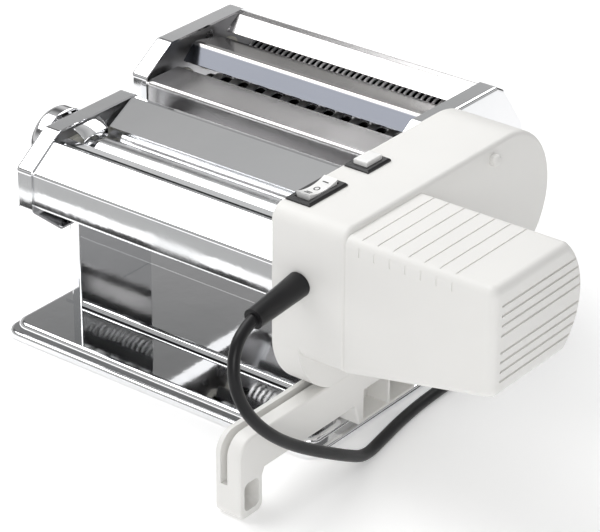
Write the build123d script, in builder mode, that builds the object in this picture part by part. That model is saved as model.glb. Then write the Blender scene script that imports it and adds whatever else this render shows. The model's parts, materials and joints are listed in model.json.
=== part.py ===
from build123d import *
import os
from math import atan2, cos, hypot, pi, radians, sin, tan

os.makedirs("parts", exist_ok=True)

# ---------------------------------------------------------------------------
# Driving dimensions, in millimetres.
# X runs along the rollers towards the motor, Y from front to back, Z up.
# "mid" is the middle of the roller frame in X, "front" the front edge of the
# base in Y; depths are counted backwards from that edge.
# ---------------------------------------------------------------------------
mid = -66.25
front = -76.75

base_length = 237.0
base_depth = 200.0
base_height = 10.0
foot_height = 1.0
tray_top = 14.0
sheet = 1.0

cap_half = 102.0
cap_depth = 12.5
cap_wall = 1.2
plate_half = 93.5
plate_thick = 2.0
panel_half = cap_half - cap_depth

upright_front = 43.0
upright_back = 109.0
upright_inset = 1.25
upright_width = 7.4
upright_top = 88.0

roller_radius = 12.5
roller_half = 75.0
roller_height = 114.1
front_roller_depth = 47.0
nip_gap = 0.5
rear_roller_depth = front_roller_depth + 2 * roller_radius + nip_gap
nip_travel = 2.2
shaft_depth = front_roller_depth - 0.6
shaft_radius = 3.5
journal_radius = 7.5
journal_bore = 6.5
rear_journal_radius = 6.0
running_clearance = 0.05

cutter_radius = 10.6
cutter_core = 8.6
cutter_spacing = 20.0
wide_depth = 123.5
wide_height = 126.0
narrow_depth = 166.0
narrow_height = 133.0
wide_pitch = 13.0
narrow_pitch = 4.2
cutter_journal = 4.0

case_front = -22.0
case_top = 166.5
case_rear_radius = 44.0
case_rear_depth = 128.0
case_inner = mid + 107.0
case_seam = mid + 125.4
case_outer = mid + 156.0
case_wall = 2.5
motor_end = mid + 251.0
motor_depth = 18.0
motor_height = 127.0
motor_back = 46.0
motor_bulge = 61.5
motor_top = 163.0

arm_front = -72.0
arm_x = (mid + 107.5, mid + 125.0)
arm_top = 49.5
arm_bottom = 25.0

cord_radius = 3.5
coil_x = mid - 40.0
coil_depth = 277.0
coil_radius = 38.0

# Gears: teeth, pitch radius.
roller_gear = (12, (rear_roller_depth - front_roller_depth) / 2)
cutter_gear = (14, cutter_spacing / 2)
idler_gear = (12, 60 / 7)
spindle_reach = hypot(wide_depth - rear_roller_depth, wide_height - roller_height)
spindle_gear = (40, spindle_reach / 2)
stage_pinion = (11, spindle_gear[1] * 11 / 40)
stage_wheel = (48, 24.0)
motor_pinion = (12, 6.0)


# ---------------------------------------------------------------------------
# Helpers
# ---------------------------------------------------------------------------
def side_plane(x):
    """A plane across the machine at x: local x is depth, local y is height."""
    return Plane(origin=(x, front, 0), x_dir=(0, 1, 0), z_dir=(1, 0, 0))


def block(x, depth, height, mode=Mode.ADD):
    """A box between two values of x, of depth and of height."""
    centre = ((x[0] + x[1]) / 2, front + (depth[0] + depth[1]) / 2, (height[0] + height[1]) / 2)
    with Locations(centre):
        Box(x[1] - x[0], depth[1] - depth[0], height[1] - height[0], mode=mode)


def rod(x, depth, height, radius, mode=Mode.ADD):
    """A round bar along X between two values of x."""
    with Locations(Location(((x[0] + x[1]) / 2, front + depth, height), (0, 90, 0))):
        Cylinder(radius, x[1] - x[0], mode=mode)


def post(x, depth, height, radius, mode=Mode.ADD):
    """An upright round bar between two heights."""
    with Locations((x, front + depth, (height[0] + height[1]) / 2)):
        Cylinder(radius, height[1] - height[0], mode=mode)


def finish(piece, name):
    """Label a finished piece and write it as its own node."""
    piece.part.label = name
    export_step(piece.part, "parts/" + name + ".step")


def gear_points(gear, phase, reach):
    """Outline of a spur gear with one tooth centred at the angle phase."""
    teeth, radius = gear
    step = 2 * pi / teeth
    points = []
    for tooth in range(teeth):
        middle = phase + tooth * step
        for turn, length in ((-0.29, -1.15), (-0.13, 1.0), (0.13, 1.0), (0.29, -1.15)):
            angle = middle + turn * step
            far = radius + length * reach
            points.append((far * cos(angle), far * sin(angle)))
    return points


def mesh_phase(gear, phase, direction, other):
    """Tooth angle of the gear that meshes with a first gear in that direction."""
    gap = pi / other[0]
    return direction + pi - gap - gear[1] / other[1] * (phase - direction)


def gear_at(x, depth, height, gear, phase, reach, bore):
    """A spur gear along X, as a part of its own."""
    with BuildPart() as wheel:
        with BuildSketch(side_plane(x[0])):
            with Locations((depth, height)):
                Polygon(*gear_points(gear, phase, reach), align=None)
                Circle(bore, mode=Mode.SUBTRACT)
        extrude(amount=x[1] - x[0])
    return wheel.part


def meeting_point(a, b, from_a, from_b):
    """The upper point at the given distances from two points."""
    span = hypot(b[0] - a[0], b[1] - a[1])
    along = (from_a ** 2 - from_b ** 2 + span ** 2) / (2 * span)
    across = (from_a ** 2 - along ** 2) ** 0.5
    ux, uy = (b[0] - a[0]) / span, (b[1] - a[1]) / span
    return (a[0] + ux * along - uy * across, a[1] + uy * along + ux * across)


# ---------------------------------------------------------------------------
# Stand: pressed base, feet, tray and two uprights
# ---------------------------------------------------------------------------
base_middle = front + base_depth / 2
lower_tier = 5.2
tier_inset = 4.5

with BuildPart() as base_plate:
    with BuildSketch(Plane.XY.offset(foot_height)):
        with Locations((mid, base_middle)):
            RectangleRounded(base_length, base_depth, 11)
    extrude(amount=lower_tier - foot_height)
    fillet(base_plate.faces().sort_by(Axis.Z)[-1].edges(), 2.2)
    with BuildSketch(Plane.XY.offset(lower_tier - 0.5)):
        with Locations((mid, base_middle)):
            RectangleRounded(base_length - 2 * tier_inset, base_depth - 2 * tier_inset, 9)
    extrude(amount=base_height - lower_tier + 0.5)
    fillet(base_plate.faces().sort_by(Axis.Z)[-1].edges(), 3.0)
    with BuildSketch(Plane.XY.offset(foot_height)):
        with Locations((mid, base_middle)):
            RectangleRounded(base_length - 2 * 7.0, base_depth - 2 * 7.0, 7)
    extrude(amount=base_height - 1.4 - foot_height, mode=Mode.SUBTRACT)
finish(base_plate, "base_plate")

foot_x = base_length / 2 - 22
foot_y = base_depth / 2 - 22
with BuildPart() as rubber_feet:
    with BuildSketch(Plane.XY):
        with Locations((mid, base_middle)):
            with GridLocations(2 * foot_x, 2 * foot_y, 2, 2):
                Circle(9)
    extrude(amount=base_height - 1.4, taper=4)
finish(rubber_feet, "rubber_feet")

tray_half = cap_half - upright_inset - upright_width - 0.1
with BuildPart() as bottom_tray:
    with BuildSketch(side_plane(mid - tray_half)):
        with BuildLine():
            FilletPolyline(
                (upright_front + 0.6, base_height + 0.6),
                (upright_front + 0.6, tray_top - 0.6),
                (upright_back - 0.6, tray_top - 0.6),
                (upright_back - 0.6, base_height + 0.6),
                radius=2.4,
            )
        trace(line_width=1.2)
    extrude(amount=2 * tray_half)
finish(bottom_tray, "bottom_tray")


def upright(side):
    """A folded column: a closed channel with a small foot flange outside."""
    outer = mid + side * (cap_half - upright_inset)
    inner = outer - side * upright_width
    low_x, high_x = sorted((outer, inner))
    with BuildPart() as column:
        with BuildSketch(Plane.XY.offset(base_height)):
            with Locations(((low_x + high_x) / 2, front + (upright_front + upright_back) / 2)):
                RectangleRounded(high_x - low_x, upright_back - upright_front, 1.4)
        extrude(amount=upright_top - base_height)
        block((low_x + 1.2, high_x - 1.2), (upright_front + 1.2, upright_back - 1.2),
              (base_height - 1, upright_top + 1), mode=Mode.SUBTRACT)
        flange = sorted((outer - side * 0.6, outer + side * 5.8))
        block(flange, (upright_front + 1, upright_back - 1), (base_height, base_height + 1.2))
    return column.part


with BuildPart() as left_upright:
    add(upright(-1))
finish(left_upright, "left_upright")
with BuildPart() as right_upright:
    add(upright(1))
finish(right_upright, "right_upright")

with BuildPart() as stand_screws:
    for side in (-1, 1):
        for depth in (upright_front + 12, upright_back - 12):
            post(mid + side * (cap_half + 1.6), depth, (base_height + 1.2, base_height + 2.6), 1.9)
finish(stand_screws, "stand_screws")

# ---------------------------------------------------------------------------
# Head: pressed end caps, inner side plates, panels and hopper
# ---------------------------------------------------------------------------
head_outline = [
    (0, 92), (0, 117.4), (25, 135.2), (93, 135.2), (95.5, 132.5), (95.5, 84), (83, 71.5), (24, 71.5),
]
cutter_outline = [
    (103, 116), (103, 142), (127, 157.4), (196, 157.0), (204, 152.5), (226, 122.5),
    (222, 112), (210, 104), (114, 104),
]


def end_cap(outline, holes):
    """A pressed cover, open towards the middle of the machine."""
    x0 = mid - cap_half
    with BuildPart() as cap:
        with BuildSketch(side_plane(x0)):
            Polygon(*outline, align=None)
            fillet(vertices(), 4.0)
        extrude(amount=cap_depth)
        fillet(cap.faces().sort_by(Axis.X)[0].edges(), 2.4)
        with BuildSketch(side_plane(x0 + cap_wall)):
            Polygon(*outline, align=None)
            fillet(vertices(), 4.0)
            offset(amount=-cap_wall, kind=Kind.INTERSECTION)
        extrude(amount=cap_depth, mode=Mode.SUBTRACT)
        for depth, height, radius in holes:
            rod((x0 - 1, x0 + 3), depth, height, radius, mode=Mode.SUBTRACT)
    return cap.part


def notch_for_upright(side):
    """The cap's bottom edge is open where the column enters it."""
    outer = mid + side * (cap_half - cap_wall)
    inner = mid + side * (cap_half - cap_depth - 1)
    block(sorted((outer, inner)), (upright_front - 0.4, upright_back + 1), (60, upright_top + 0.4),
          mode=Mode.SUBTRACT)


mirror_plane = Plane.YZ.offset(mid)
shaft_hole = (shaft_depth, roller_height, shaft_radius + running_clearance)
with BuildPart() as left_end_cap:
    add(end_cap(head_outline, [shaft_hole]))
    notch_for_upright(-1)
finish(left_end_cap, "left_end_cap")
with BuildPart() as right_end_cap:
    add(mirror(end_cap(head_outline, [shaft_hole, (rear_roller_depth, roller_height, 8)]),
               about=mirror_plane))
    notch_for_upright(1)
finish(right_end_cap, "right_end_cap")


def side_plate(side):
    """Steel plate that carries the rollers, set inside the cap."""
    x0 = mid + side * plate_half
    x = sorted((x0, x0 + side * plate_thick))
    with BuildPart() as plate:
        with BuildSketch(side_plane(x[0])):
            Polygon(*head_outline, align=None)
            fillet(vertices(), 4.0)
            offset(amount=-(cap_wall + 0.15), kind=Kind.INTERSECTION)
        extrude(amount=plate_thick)
        block((x[0] - 1, x[1] + 1), (-10, 120), (60, upright_top + 0.4), mode=Mode.SUBTRACT)
        rod((x[0] - 1, x[1] + 1), rear_roller_depth, roller_height, 8.0, mode=Mode.SUBTRACT)
        for shift in (0, nip_travel):
            rod((x[0] - 1, x[1] + 1), front_roller_depth - shift, roller_height, 8.3,
                mode=Mode.SUBTRACT)
    return plate.part


with BuildPart() as left_side_plate:
    add(side_plate(-1))
finish(left_side_plate, "left_side_plate")
with BuildPart() as right_side_plate:
    add(side_plate(1))
finish(right_side_plate, "right_side_plate")

panel_x = mid - panel_half + 0.1
panel_length = 2 * (panel_half - 0.1)
panel_front = 1.8
with BuildPart() as front_panel:
    with BuildSketch(side_plane(panel_x)):
        with BuildLine():
            FilletPolyline(
                (14, 94.8), (panel_front, 94.8), (panel_front, 116.5), (20.4, 129.9), (24.4, 128.4),
                radius=[1.6, 2.4, 1.4],
            )
        trace(line_width=sheet)
    extrude(amount=panel_length)
finish(front_panel, "front_panel")

with BuildPart() as front_guide:
    with BuildSketch(side_plane(panel_x)):
        with BuildLine():
            FilletPolyline((25.6, 128.6), (33.4, 127.6), (31.2, 122.6), (28.8, 112), radius=[1.2, 4.0])
        trace(line_width=sheet)
    extrude(amount=panel_length)
finish(front_guide, "front_guide")

with BuildPart() as hopper_plate:
    with BuildSketch(side_plane(panel_x)):
        with BuildLine():
            FilletPolyline((62.2, 126.4), (90.2, 133.6), (94, 133.6), (94, 89), radius=[1.0, 1.5])
        trace(line_width=sheet)
    extrude(amount=panel_length)
finish(hopper_plate, "hopper_plate")


def cheek(side):
    """Funnel wall beside the rollers: a sloping wing ending in a short lip."""
    outer = mid + side * (panel_half - 0.4)
    inner = mid + side * (roller_half + 5.6)
    with BuildPart() as wall:
        with BuildSketch(Plane.XZ.offset(-(front + 36.5))):
            with BuildLine():
                FilletPolyline((outer, 131.8), (inner, 128.0), (inner, 119.0), radius=0.8)
            trace(line_width=sheet)
        extrude(amount=-22)
        for shift in (0, nip_travel):
            rod(sorted((inner - side * 2, inner + side * 2)), front_roller_depth - shift,
                roller_height, journal_radius + 0.5, mode=Mode.SUBTRACT)
    return wall.part


with BuildPart() as hopper_cheeks:
    add(cheek(-1))
    add(cheek(1))
finish(hopper_cheeks, "hopper_cheeks")

tie_x = plate_half
with BuildPart() as tie_rods:
    for depth, height in ((14, 104), (46, 92), (88, 93)):
        rod((mid - tie_x, mid + tie_x), depth, height, 3.0)
finish(tie_rods, "tie_rods")

with BuildPart() as roller_bushes:
    for side in (-1, 1):
        ends = sorted((mid + side * plate_half, mid + side * (plate_half + plate_thick)))
        rod(ends, rear_roller_depth, roller_height, 8.0)
        flange = sorted((mid + side * plate_half, mid + side * (plate_half - 1.6)))
        rod(flange, rear_roller_depth, roller_height, 10.0)
    rod((mid - cap_half, mid + cap_half), rear_roller_depth, roller_height,
        rear_journal_radius + running_clearance, mode=Mode.SUBTRACT)
finish(roller_bushes, "roller_bushes")

scraper_half = roller_half - 1
with BuildPart() as roller_scrapers:
    for depth, lean in ((rear_roller_depth + 6.5, 1), (front_roller_depth - 6.5 - nip_travel, -1)):
        with BuildSketch(side_plane(mid - scraper_half)):
            with BuildLine():
                Polyline((depth, 100.9), (depth + lean * 5.0, 91.5))
            trace(line_width=0.8)
        extrude(amount=2 * scraper_half)
finish(roller_scrapers, "roller_scrapers")

# ---------------------------------------------------------------------------
# Smooth rollers, their gears, and the thickness setting
# ---------------------------------------------------------------------------
gear_x = (mid - cap_half + 1.7, mid - plate_half - plate_thick - 0.5)
roller_reach = 1.8
rear_phase = 0.0
front_phase = mesh_phase(roller_gear, rear_phase, pi, roller_gear)

with BuildPart() as rear_roller:
    rod((mid - roller_half, mid + roller_half), rear_roller_depth, roller_height, roller_radius)
    chamfer(rear_roller.edges().filter_by(GeomType.CIRCLE), 0.4)
    rod((gear_x[0], mid + cap_half - 1), rear_roller_depth, roller_height, rear_journal_radius)
    with BuildSketch(side_plane(mid + cap_half - 15)):
        with Locations((rear_roller_depth, roller_height)):
            RegularPolygon(4.0, 6)
    extrude(amount=20, mode=Mode.SUBTRACT)
finish(rear_roller, "rear_roller")

with BuildPart() as rear_roller_gear:
    add(gear_at(gear_x, rear_roller_depth, roller_height, roller_gear, rear_phase, roller_reach,
                rear_journal_radius))
finish(rear_roller_gear, "rear_roller_gear")

with BuildPart() as front_roller:
    rod((mid - roller_half, mid + roller_half), front_roller_depth, roller_height, roller_radius)
    chamfer(front_roller.edges().filter_by(GeomType.CIRCLE), 0.4)
    rod((gear_x[0], mid + plate_half + 3), front_roller_depth, roller_height, journal_radius)
    rod((gear_x[0] - 1, mid + plate_half + 4), front_roller_depth, roller_height, journal_bore,
        mode=Mode.SUBTRACT)
finish(front_roller, "front_roller")

with BuildPart() as front_roller_gear:
    add(gear_at(gear_x, front_roller_depth, roller_height, roller_gear, front_phase, roller_reach,
                journal_radius))
finish(front_roller_gear, "front_roller_gear")

with BuildPart() as roller_carriers:
    for side in (-1, 1):
        near = mid + side * (plate_half - 0.4)
        far = mid + side * (plate_half - 3.4)
        block(sorted((near, far)), (front_roller_depth - 9.6, front_roller_depth + 9.6), (104, 125.4))
    rod((mid - cap_half, mid + cap_half), front_roller_depth, roller_height,
        journal_radius + running_clearance, mode=Mode.SUBTRACT)
finish(roller_carriers, "roller_carriers")

knob_radius = 23.0
knob_face = mid - cap_half - 13.0
knob_back = mid - cap_half - 1.6
with BuildPart() as eccentric_shaft:
    rod((knob_back - 5, mid + cap_half - 0.3), shaft_depth, roller_height, shaft_radius)
    for side in (-1, 1):
        x = mid + side * (plate_half - 12)
        rod((x - 4, x + 4), shaft_depth + 0.25, roller_height, 4.3)
finish(eccentric_shaft, "eccentric_shaft")

with BuildPart() as index_plate:
    rod((mid - cap_half - 1.0, mid - cap_half), shaft_depth, roller_height, 20)
    rod((mid - cap_half - 2, mid - cap_half + 1), shaft_depth, roller_height,
        shaft_radius + running_clearance, mode=Mode.SUBTRACT)
    with BuildSketch(side_plane(mid - cap_half - 2)):
        with Locations((shaft_depth, roller_height)):
            with PolarLocations(15, 9, start_angle=90):
                Circle(1.6)
    extrude(amount=4, mode=Mode.SUBTRACT)
finish(index_plate, "index_plate")

with BuildPart() as thickness_knob:
    rod((knob_face, knob_back), shaft_depth, roller_height, knob_radius)
    fillet(thickness_knob.faces().sort_by(Axis.X)[0].edges(), 4.5)
    rod((knob_back - 6, knob_back + 1), shaft_depth, roller_height, knob_radius - 1.6, mode=Mode.SUBTRACT)
    rod((knob_face + 2, knob_back - 0.2), shaft_depth, roller_height, 7.5)
    rod((knob_face + 3, knob_back + 1), shaft_depth, roller_height,
        shaft_radius + running_clearance, mode=Mode.SUBTRACT)
    rod((knob_back - 7, knob_back + 0.25), shaft_depth, roller_height + 15, 1.3)
finish(thickness_knob, "thickness_knob")

# ---------------------------------------------------------------------------
# Cutter unit: two pairs of cutter rollers in its own end caps
# ---------------------------------------------------------------------------
wide_front = (wide_depth, wide_height)
wide_rear = (wide_depth + cutter_spacing, wide_height)
narrow_front = (narrow_depth, narrow_height)
narrow_rear = (narrow_depth + cutter_spacing, narrow_height)
reach_to_idler = cutter_gear[1] + idler_gear[1]
idler = meeting_point(narrow_front, wide_rear, reach_to_idler, reach_to_idler)

with BuildPart() as cutter_left_cap:
    add(end_cap(cutter_outline, []))
finish(cutter_left_cap, "cutter_left_cap")
with BuildPart() as cutter_right_cap:
    add(mirror(end_cap(cutter_outline, [(wide_depth, wide_height, 7)]), about=mirror_plane))
finish(cutter_right_cap, "cutter_right_cap")

cutter_axes = [wide_front, wide_rear, narrow_front, narrow_rear]
with BuildPart() as cutter_side_plates:
    for side in (-1, 1):
        x = sorted((mid + side * plate_half, mid + side * (plate_half + plate_thick)))
        with BuildSketch(side_plane(x[0])):
            Polygon(*cutter_outline, align=None)
            fillet(vertices(), 4.0)
            offset(amount=-(cap_wall + 0.15), kind=Kind.INTERSECTION)
            with Locations(*cutter_axes):
                Circle(6.0, mode=Mode.SUBTRACT)
        extrude(amount=plate_thick)
    rod((mid - cap_half, mid), idler[0], idler[1], 2.5, mode=Mode.SUBTRACT)
finish(cutter_side_plates, "cutter_side_plates")

with BuildPart() as cutter_bushes:
    for side in (-1, 1):
        for depth, height in cutter_axes:
            ends = sorted((mid + side * plate_half, mid + side * (plate_half + plate_thick)))
            rod(ends, depth, height, 6.0)
            flange = sorted((mid + side * plate_half, mid + side * (plate_half - 1.5)))
            rod(flange, depth, height, 7.5)
    for depth, height in cutter_axes:
        rod((mid - cap_half, mid + cap_half), depth, height, cutter_journal + running_clearance,
            mode=Mode.SUBTRACT)
finish(cutter_bushes, "cutter_bushes")

slot_front = (wide_depth + 9.0, 139.2)
slot_rear = (wide_depth + 14.5, 141.4)
ridge_line = (149.7, 150.2)
with BuildPart() as cutter_front_guide:
    with BuildSketch(side_plane(panel_x)):
        with BuildLine():
            FilletPolyline((110, 112), (104.4, 112), (104.4, 139.4), (109.0, 139.4), slot_front,
                           radius=[1.5, 2.0, 8.0])
        trace(line_width=sheet)
    extrude(amount=panel_length)
finish(cutter_front_guide, "cutter_front_guide")

with BuildPart() as cutter_ridge:
    with BuildSketch(side_plane(panel_x)):
        with BuildLine():
            FilletPolyline(slot_rear, (ridge_line[0] - 1.2, ridge_line[1]),
                           (ridge_line[0] + 1.2, ridge_line[1]), (173.2, 145.6), radius=[0.9, 0.9])
        trace(line_width=sheet)
    extrude(amount=panel_length)
finish(cutter_ridge, "cutter_ridge")

with BuildPart() as cutter_rear_guide:
    with BuildSketch(side_plane(panel_x)):
        with BuildLine():
            FilletPolyline((179.0, 147.4), (191.2, 154.6), (195.6, 155.2), (203, 150.6), (223.6, 122.3),
                           (219.4, 113), radius=[1.2, 1.6, 3.0, 3.0])
        trace(line_width=sheet)
    extrude(amount=panel_length)
finish(cutter_rear_guide, "cutter_rear_guide")


def cutter_body(depth, height, pitch, disc, start, right_end):
    """A roller turned into discs: each disc runs in a gap of the roller beside it."""
    left = mid - roller_half
    count = int((2 * roller_half - start) // pitch)
    with BuildPart() as body:
        rod((left, left + 2 * roller_half), depth, height, cutter_core)
        for number in range(count + 1):
            x0 = left + start + number * pitch
            x1 = min(x0 + disc, left + 2 * roller_half)
            rod((x0, x1), depth, height, cutter_radius)
        rod((gear_x[0], right_end), depth, height, cutter_journal)
    return body.part


cutter_ends = mid + plate_half + plate_thick + 1
wide_disc = wide_pitch / 2 - 0.3
narrow_disc = narrow_pitch / 2 - 0.3
cutter_phase = 0.0
wide_rear_phase = mesh_phase(cutter_gear, cutter_phase, 0, cutter_gear)
to_idler = atan2(idler[1] - wide_rear[1], idler[0] - wide_rear[0])
idler_phase = mesh_phase(cutter_gear, wide_rear_phase, to_idler, idler_gear)
to_narrow = atan2(narrow_front[1] - idler[1], narrow_front[0] - idler[0])
narrow_front_phase = mesh_phase(idler_gear, idler_phase, to_narrow, cutter_gear)
narrow_rear_phase = mesh_phase(cutter_gear, narrow_front_phase, 0, cutter_gear)
cutter_reach = 1.15

with BuildPart() as wide_cutter_front:
    add(cutter_body(*wide_front, wide_pitch, wide_disc, 0.05, mid + cap_half - 1))
    with BuildSketch(side_plane(mid + cap_half - 11)):
        with Locations(wide_front):
            RegularPolygon(2.6, 6)
    extrude(amount=12, mode=Mode.SUBTRACT)
    add(gear_at(gear_x, *wide_front, cutter_gear, cutter_phase, cutter_reach, 3.9))
finish(wide_cutter_front, "wide_cutter_front")
with BuildPart() as wide_cutter_rear:
    add(cutter_body(*wide_rear, wide_pitch, wide_disc, 0.05 + wide_pitch / 2, cutter_ends))
    add(gear_at(gear_x, *wide_rear, cutter_gear, wide_rear_phase, cutter_reach, 3.9))
finish(wide_cutter_rear, "wide_cutter_rear")
with BuildPart() as narrow_cutter_front:
    add(cutter_body(*narrow_front, narrow_pitch, narrow_disc, 0.05, cutter_ends))
    add(gear_at(gear_x, *narrow_front, cutter_gear, narrow_front_phase, cutter_reach, 3.9))
finish(narrow_cutter_front, "narrow_cutter_front")
with BuildPart() as narrow_cutter_rear:
    add(cutter_body(*narrow_rear, narrow_pitch, narrow_disc, 0.05 + narrow_pitch / 2, cutter_ends))
    add(gear_at(gear_x, *narrow_rear, cutter_gear, narrow_rear_phase, cutter_reach, 3.9))
finish(narrow_cutter_rear, "narrow_cutter_rear")

with BuildPart() as cutter_idler:
    add(gear_at(gear_x, *idler, idler_gear, idler_phase, cutter_reach, 2.0))
    rod((gear_x[0], mid - plate_half + 1.5), *idler, 2.45)
finish(cutter_idler, "cutter_idler")

with BuildPart() as cutter_combs:
    for depth, height, lean in (
        (wide_depth - 3, wide_height - cutter_radius - 1.0, -3),
        (wide_depth + cutter_spacing + 3, wide_height - cutter_radius - 1.0, 3),
        (narrow_depth - 3, narrow_height - cutter_radius - 1.0, -3),
        (narrow_depth + cutter_spacing + 3, narrow_height - cutter_radius - 1.0, 3),
    ):
        with BuildSketch(side_plane(mid - scraper_half)):
            with BuildLine():
                Polyline((depth, height), (depth + lean, height - 7))
            trace(line_width=0.8)
        extrude(amount=2 * scraper_half)
finish(cutter_combs, "cutter_combs")

hook_back = 103.8
with BuildPart() as cutter_hooks:
    for side in (-1, 1):
        x = sorted((mid + side * (plate_half - 4), mid + side * (plate_half - 7)))
        with BuildSketch(side_plane(x[0])):
            Polygon((94.6, 118), (hook_back, 118), (hook_back, 104), (94.6, 96), align=None)
        extrude(amount=x[1] - x[0])
finish(cutter_hooks, "cutter_hooks")

# ---------------------------------------------------------------------------
# Gear case in two halves, motor housing, drive train and switches
# ---------------------------------------------------------------------------
case_middle_height = case_top - case_rear_radius
case_low = case_top - 2 * case_rear_radius


def case_outline():
    """Flat front, level top and bottom, and a round rear end."""
    with BuildSketch() as outline:
        with BuildLine():
            Polyline((case_rear_depth, case_low), (case_front, case_low), (case_front, case_top),
                     (case_rear_depth, case_top))
            RadiusArc((case_rear_depth, case_top), (case_rear_depth, case_low), case_rear_radius)
        make_face()
        fillet(outline.vertices().sort_by(Axis.X)[:2], 9)
    return outline.sketch


def lobe_outline():
    """The inner half reaches down in front to stand on the support bracket."""
    with BuildSketch() as outline:
        with BuildLine():
            Polyline((case_front, 84), (case_front, 100), (62, 100), (62, arm_top), (6, arm_top))
            ThreePointArc((6, arm_top), (-13.5, 63.5), (case_front, 84))
        make_face()
    return outline.sketch


bezel_x = (case_inner + 0.9, case_inner + 17.1)
rocker_depths = (-11.5, 22.0)
button_depths = (40.0, 61.0)
release_depth = 113.0
release_height = 157.5
exit_height = 125.5
exit_x = case_seam
relief_radius = 7.4

outline = case_outline()
lower_outline = outline + lobe_outline()
outline_cavity = offset(outline, amount=-case_wall)
lower_cavity = offset(lower_outline, amount=-case_wall, kind=Kind.INTERSECTION)
inner_half_width = case_seam - case_inner
stage_centre = meeting_point(
    (motor_depth, motor_height), (rear_roller_depth, roller_height),
    motor_pinion[1] + stage_wheel[1], stage_pinion[1] + spindle_gear[1],
)
shaft_spots = [(rear_roller_depth, roller_height), wide_front, stage_centre]

with BuildPart() as gear_case_inner:
    extrude(side_plane(case_inner) * lower_outline, amount=inner_half_width)
    extrude(side_plane(case_inner + case_wall) * lower_cavity,
            amount=inner_half_width - 2 * case_wall, mode=Mode.SUBTRACT)
    extrude(side_plane(case_inner + case_wall) * outline_cavity,
            amount=inner_half_width, mode=Mode.SUBTRACT)
    for depth, height in shaft_spots:
        rod((case_inner + 1, case_inner + case_wall + 1.5), depth, height, 8.0)
    rod((case_inner - 1, case_inner + 6), rear_roller_depth, roller_height, 5.05, mode=Mode.SUBTRACT)
    rod((case_inner - 1, case_inner + 6), *wide_front, 5.05, mode=Mode.SUBTRACT)
    rod((case_inner + 1.2, case_inner + 6), *stage_centre, 3.05, mode=Mode.SUBTRACT)
    for low, high in (rocker_depths, button_depths):
        block((bezel_x[0] + 2, bezel_x[1] - 2), (low + 2, high - 2), (case_top - 5, case_top + 1),
              mode=Mode.SUBTRACT)
    with Locations(Location((exit_x, front + case_front, exit_height), (90, 0, 0))):
        Cylinder(relief_radius - 1.5, 12, mode=Mode.SUBTRACT)
finish(gear_case_inner, "gear_case_inner")

motor_low_case = 80.0
motor_low_end = 99.0


def motor_section(low, inset):
    """Flat front, top and bottom with a bulging back."""
    with BuildSketch() as section:
        with BuildLine():
            Polyline((motor_back - inset, low + inset), (case_front + inset, low + inset),
                     (case_front + inset, motor_top - inset), (motor_back - inset, motor_top - inset))
            ThreePointArc((motor_back - inset, motor_top - inset),
                          (motor_bulge - inset, (low + motor_top) / 2),
                          (motor_back - inset, low + inset))
        make_face()
        fillet(section.vertices(), 5.5 - inset)
    return section.sketch


with BuildPart() as gear_case_outer:
    extrude(side_plane(case_seam) * outline, amount=case_outer - case_seam)
    fillet(gear_case_outer.faces().sort_by(Axis.X)[-1].edges(), 3.0)
    extrude(side_plane(case_seam - 1) * outline_cavity,
            amount=case_outer - case_seam + 1 - case_wall, mode=Mode.SUBTRACT)
    rod((case_outer - case_wall - 1.5, case_outer - 0.8), *stage_centre, 6.0)
    rod((case_outer - case_wall - 2, case_outer - 1.2), *stage_centre, 3.05, mode=Mode.SUBTRACT)
    for spot in shaft_spots[:2]:
        rod((case_outer - case_wall - 9, case_outer - 0.8), *spot, 6.0)
        rod((case_outer - case_wall - 10, case_outer - 1.2), *spot, 3.05, mode=Mode.SUBTRACT)
    rod((case_outer - 6, case_outer + 2), motor_depth, motor_height, 25.0, mode=Mode.SUBTRACT)
    rod((case_outer - 6, case_outer + 2), release_depth, release_height, 3.65, mode=Mode.SUBTRACT)
    with Locations(Location((exit_x, front + case_front, exit_height), (90, 0, 0))):
        Cylinder(relief_radius - 1.5, 12, mode=Mode.SUBTRACT)
finish(gear_case_outer, "gear_case_outer")

groove_xs = [case_outer + 8.8 + 9.9 * number for number in range(7)]
slot_heights = [motor_top - 11.6 - 5.75 * number for number in range(4)]
slot_heights += [motor_top - 38.8 - 5.6 * number for number in range(4)]
with BuildPart() as motor_housing:
    with BuildSketch(side_plane(case_outer)) as wide_end:
        add(motor_section(motor_low_case, 0))
    with BuildSketch(side_plane(motor_end)) as far_end:
        add(motor_section(motor_low_end, 0))
    loft()
    fillet(motor_housing.faces().sort_by(Axis.X)[-1].edges(), 5.0)
    with BuildSketch(side_plane(case_outer)):
        add(motor_section(motor_low_case, case_wall))
    with BuildSketch(side_plane(motor_end - case_wall - 1)):
        add(motor_section(motor_low_end, case_wall))
    loft(mode=Mode.SUBTRACT)
    for x in groove_xs:
        block((x - 0.45, x + 0.45), (case_front - 1, motor_bulge), (motor_top - 0.6, motor_top + 1),
              mode=Mode.SUBTRACT)
        block((x - 0.45, x + 0.45), (case_front - 1, case_front + 0.4), (motor_top - 9, motor_top + 1),
              mode=Mode.SUBTRACT)
    for height in slot_heights:
        block((motor_end - 1.3, motor_end + 1), (case_front + 6.5, motor_bulge + 1),
              (height - 0.75, height + 0.75), mode=Mode.SUBTRACT)
finish(motor_housing, "motor_housing")

can_x = (case_outer - 4, case_outer + 66)
with BuildPart() as motor_can:
    rod(can_x, motor_depth, motor_height, 24.0)
    rod((can_x[0] + 2, can_x[1] - 2), motor_depth, motor_height, 21.5, mode=Mode.SUBTRACT)
    rod((can_x[0] - 1, can_x[1] + 1), motor_depth, motor_height, 3.05, mode=Mode.SUBTRACT)
finish(motor_can, "motor_can")

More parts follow.
